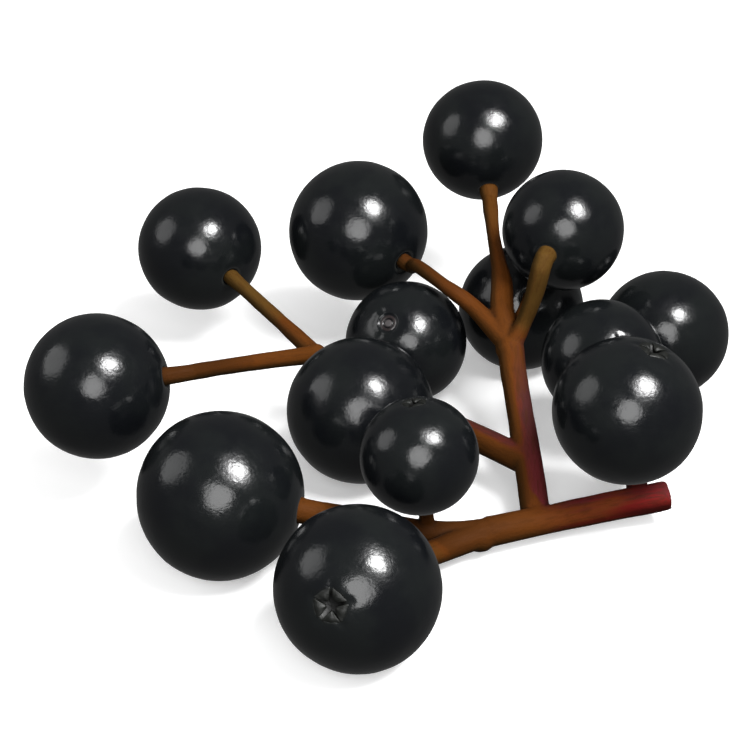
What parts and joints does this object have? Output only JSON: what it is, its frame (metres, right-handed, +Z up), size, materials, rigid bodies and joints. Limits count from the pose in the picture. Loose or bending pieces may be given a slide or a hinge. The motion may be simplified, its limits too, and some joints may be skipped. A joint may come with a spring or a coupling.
{
  "type": "elderberry cluster",
  "caption": "Small cluster of ripe elderberries lying on a surface: near-black glossy round berries on a branching maroon and ochre stem with a cut end.",
  "frame": {"origin": "on the surface that the cluster lies on, under the middle of its outline", "axes": "+Z up from the surface; +Y from the front berry towards the back tip berry, along the cluster; +X towards the cut end of the main stem"},
  "size_m": [0.036, 0.041, 0.0137],
  "materials": {
    "berry_skin": "ripe berry skin, near black with a violet-blue cast, glossy with a softly broken highlight",
    "stem_bark": "thin bark of a green stem, maroon at the cut end turning orange-brown, then ochre near the berries, satin"
  },
  "bodies": {
    "root": {"berry_back_tip": "berry_skin", "berry_upper_right": "berry_skin", "berry_back_middle": "berry_skin", "berry_back_left": "berry_skin", "berry_loose": "berry_skin", "berry_under_fork": "berry_skin", "berry_far_right": "berry_skin", "berry_right_inner": "berry_skin", "berry_right_front": "berry_skin", "berry_far_left": "berry_skin", "berry_centre": "berry_skin", "berry_small_front": "berry_skin", "berry_left_front": "berry_skin", "berry_front": "berry_skin", "stem": "stem_bark"}
  },
  "joints": []
}
